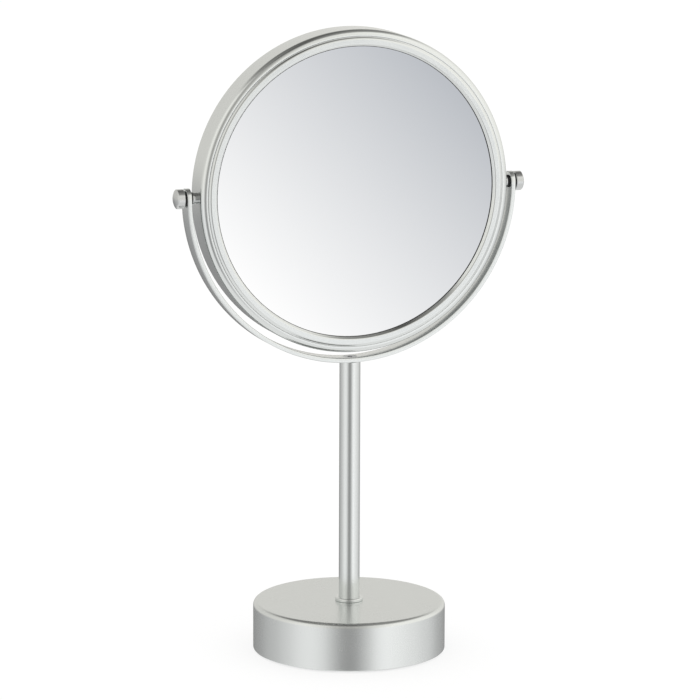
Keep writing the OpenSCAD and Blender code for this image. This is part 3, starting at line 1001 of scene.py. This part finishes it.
def mixed(tree, factor, first, second, blend="MIX"):
    """Two colours mixed."""
    node = tree.nodes.new("ShaderNodeMix")
    node.data_type = "RGBA"
    node.blend_type = blend
    node.clamp_result = False
    feed(tree, node.inputs[0], factor)
    feed(tree, node.inputs[6], first)
    feed(tree, node.inputs[7], second)
    return node.outputs[2]


def pale_floor(light):
    """A wide pale sheet under the mirror, clear from below. Its own glow keeps its shadows faint."""
    pick_nothing()
    bpy.ops.mesh.primitive_plane_add(size=16, location=(0, 0, 0))
    floor = bpy.context.active_object
    floor.name = "pale_floor"
    material = bpy.data.materials.new("Pale paper")
    material.use_nodes = True
    tree = material.node_tree
    shader = tree.nodes["Principled BSDF"]
    own_glow, total = 0.72, 1.03
    tone = (total - own_glow) * light.paper_glow / light.lamp_glow
    shader.inputs["Base Color"].default_value = (tone, tone, tone, 1)
    shader.inputs["Emission Color"].default_value = (1, 1, 1, 1)
    shader.inputs["Emission Strength"].default_value = own_glow * light.paper_glow
    shader.inputs["Roughness"].default_value = 1.0
    shader.inputs["Specular IOR Level"].default_value = 0.0
    clear = tree.nodes.new("ShaderNodeBsdfTransparent")
    backs = tree.nodes.new("ShaderNodeNewGeometry").outputs["Backfacing"]
    blend = add(tree, "ShaderNodeMixShader", {
        0: backs, 1: shader.outputs[0], 2: clear.outputs[0]})
    tree.links.new(blend.outputs[0], tree.nodes["Material Output"].inputs["Surface"])
    floor.data.materials.append(material)
    floor.visible_glossy = False


def set_camera(light):
    """The stage's camera, at its place and aimed at the target."""
    place, target = Vector(light.camera_place), Vector(light.camera_target)
    ahead = (target - place).normalized()
    right = ahead.cross(Vector((0, 0, 1))).normalized()
    up = right.cross(ahead)
    roll = light.camera_roll
    right, up = (math.cos(roll) * right + math.sin(roll) * up,
                 math.cos(roll) * up - math.sin(roll) * right)
    pick_nothing()
    bpy.ops.object.camera_add()
    camera = bpy.context.active_object
    camera.name = "Studio camera"
    camera.matrix_world = Matrix.Translation(place) @ Matrix((right, up, -ahead)).transposed().to_4x4()
    camera.data.lens = light.lens
    camera.data.sensor_width = 36
    camera.data.clip_end = 40
    bpy.context.scene.camera = camera


class MIRROR_OT_stage(bpy.types.Operator):
    """Set up the floor, the soft light and the camera"""

    bl_idname = "mirror.stage"
    bl_label = "Stage"

    def execute(self, context):
        light = context.scene.mirror_light
        context.scene.view_settings.view_transform = "Standard"
        studio_world(light)
        pale_floor(light)
        set_camera(light)
        return {"FINISHED"}


class MIRROR_PT_sidebar(bpy.types.Panel):
    """The mirror's pieces and their settings"""

    bl_idname = "MIRROR_PT_sidebar"
    bl_label = "Round shaving mirror"
    bl_space_type = "VIEW_3D"
    bl_region_type = "UI"
    bl_category = "Mirror"

    def draw(self, context):
        for operator in OPERATORS:
            self.layout.operator(operator.bl_idname)
        for settings in SETTINGS:
            box = self.layout.box()
            group = getattr(context.scene, settings)
            for name in group.bl_rna.properties.keys():
                if name not in ("rna_type", "name"):
                    box.prop(group, name)


SETTINGS = {
    "mirror_edges": SoftEdges,
    "mirror_smoothness": Smoothness,
    "mirror_finishes": Finishes,
    "mirror_light": StudioLight,
}
OPERATORS = (
    MIRROR_OT_carried,
    MIRROR_OT_rim,
    MIRROR_OT_bezels,
    MIRROR_OT_magnifier,
    MIRROR_OT_yoke,
    MIRROR_OT_foot,
    MIRROR_OT_column,
    MIRROR_OT_pivots,
    MIRROR_OT_stage,
)
CLASSES = (*SETTINGS.values(), *OPERATORS, MIRROR_PT_sidebar)


def register():
    """Adds the classes and the settings."""
    for cls in CLASSES:
        bpy.utils.register_class(cls)
    for name, cls in SETTINGS.items():
        setattr(bpy.types.Scene, name, PointerProperty(type=cls))


def unregister():
    """Takes the settings and the classes away again."""
    for name in SETTINGS:
        delattr(bpy.types.Scene, name)
    for cls in reversed(CLASSES):
        bpy.utils.unregister_class(cls)


def main():
    """Builds the pieces and the stage."""
    register()
    bpy.ops.mirror.carried()
    bpy.ops.mirror.rim()
    bpy.ops.mirror.bezels()
    bpy.ops.mirror.magnifier()
    bpy.ops.mirror.yoke()
    bpy.ops.mirror.foot()
    bpy.ops.mirror.column()
    bpy.ops.mirror.pivots()
    bpy.ops.mirror.stage()


if __name__ == "__main__":
    main()
